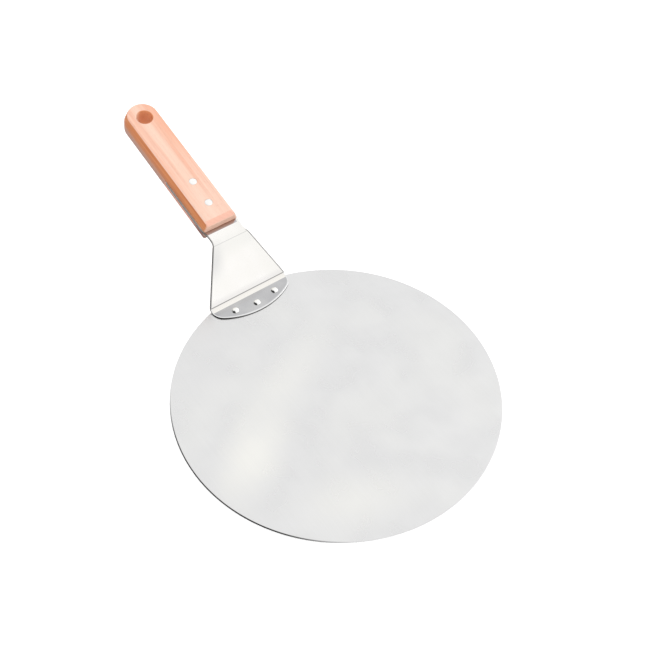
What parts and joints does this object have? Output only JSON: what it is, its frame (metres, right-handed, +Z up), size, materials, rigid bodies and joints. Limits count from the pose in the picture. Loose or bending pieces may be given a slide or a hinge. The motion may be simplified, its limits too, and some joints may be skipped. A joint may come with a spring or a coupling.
{
  "type": "pizza peel",
  "caption": "Round metal pizza peel: flat disc blade, bent riveted neck bracket and a wooden grip with a hang hole.",
  "frame": {"origin": "centre of the round blade's flat underside, the face that lies on a table", "axes": "+Y from the blade's centre towards the grip's butt, +Z up off the blade, +X to the right"},
  "size_m": [0.255, 0.4241, 0.0833],
  "materials": {
    "blade_steel": "smooth satin sheet",
    "bracket_steel": "bright smooth sheet",
    "rivet_steel": "polished",
    "wood": "fine straight grain under thin clear lacquer"
  },
  "bodies": {
    "root": {"blade": "blade_steel", "bracket": "bracket_steel", "foot_rivet_left": "rivet_steel", "foot_rivet_middle": "rivet_steel", "foot_rivet_right": "rivet_steel", "grip": "wood", "grip_rivet_pin_front": "rivet_steel", "grip_rivet_sleeve_front": "rivet_steel", "grip_rivet_pin_rear": "rivet_steel", "grip_rivet_sleeve_rear": "rivet_steel"}
  },
  "joints": []
}
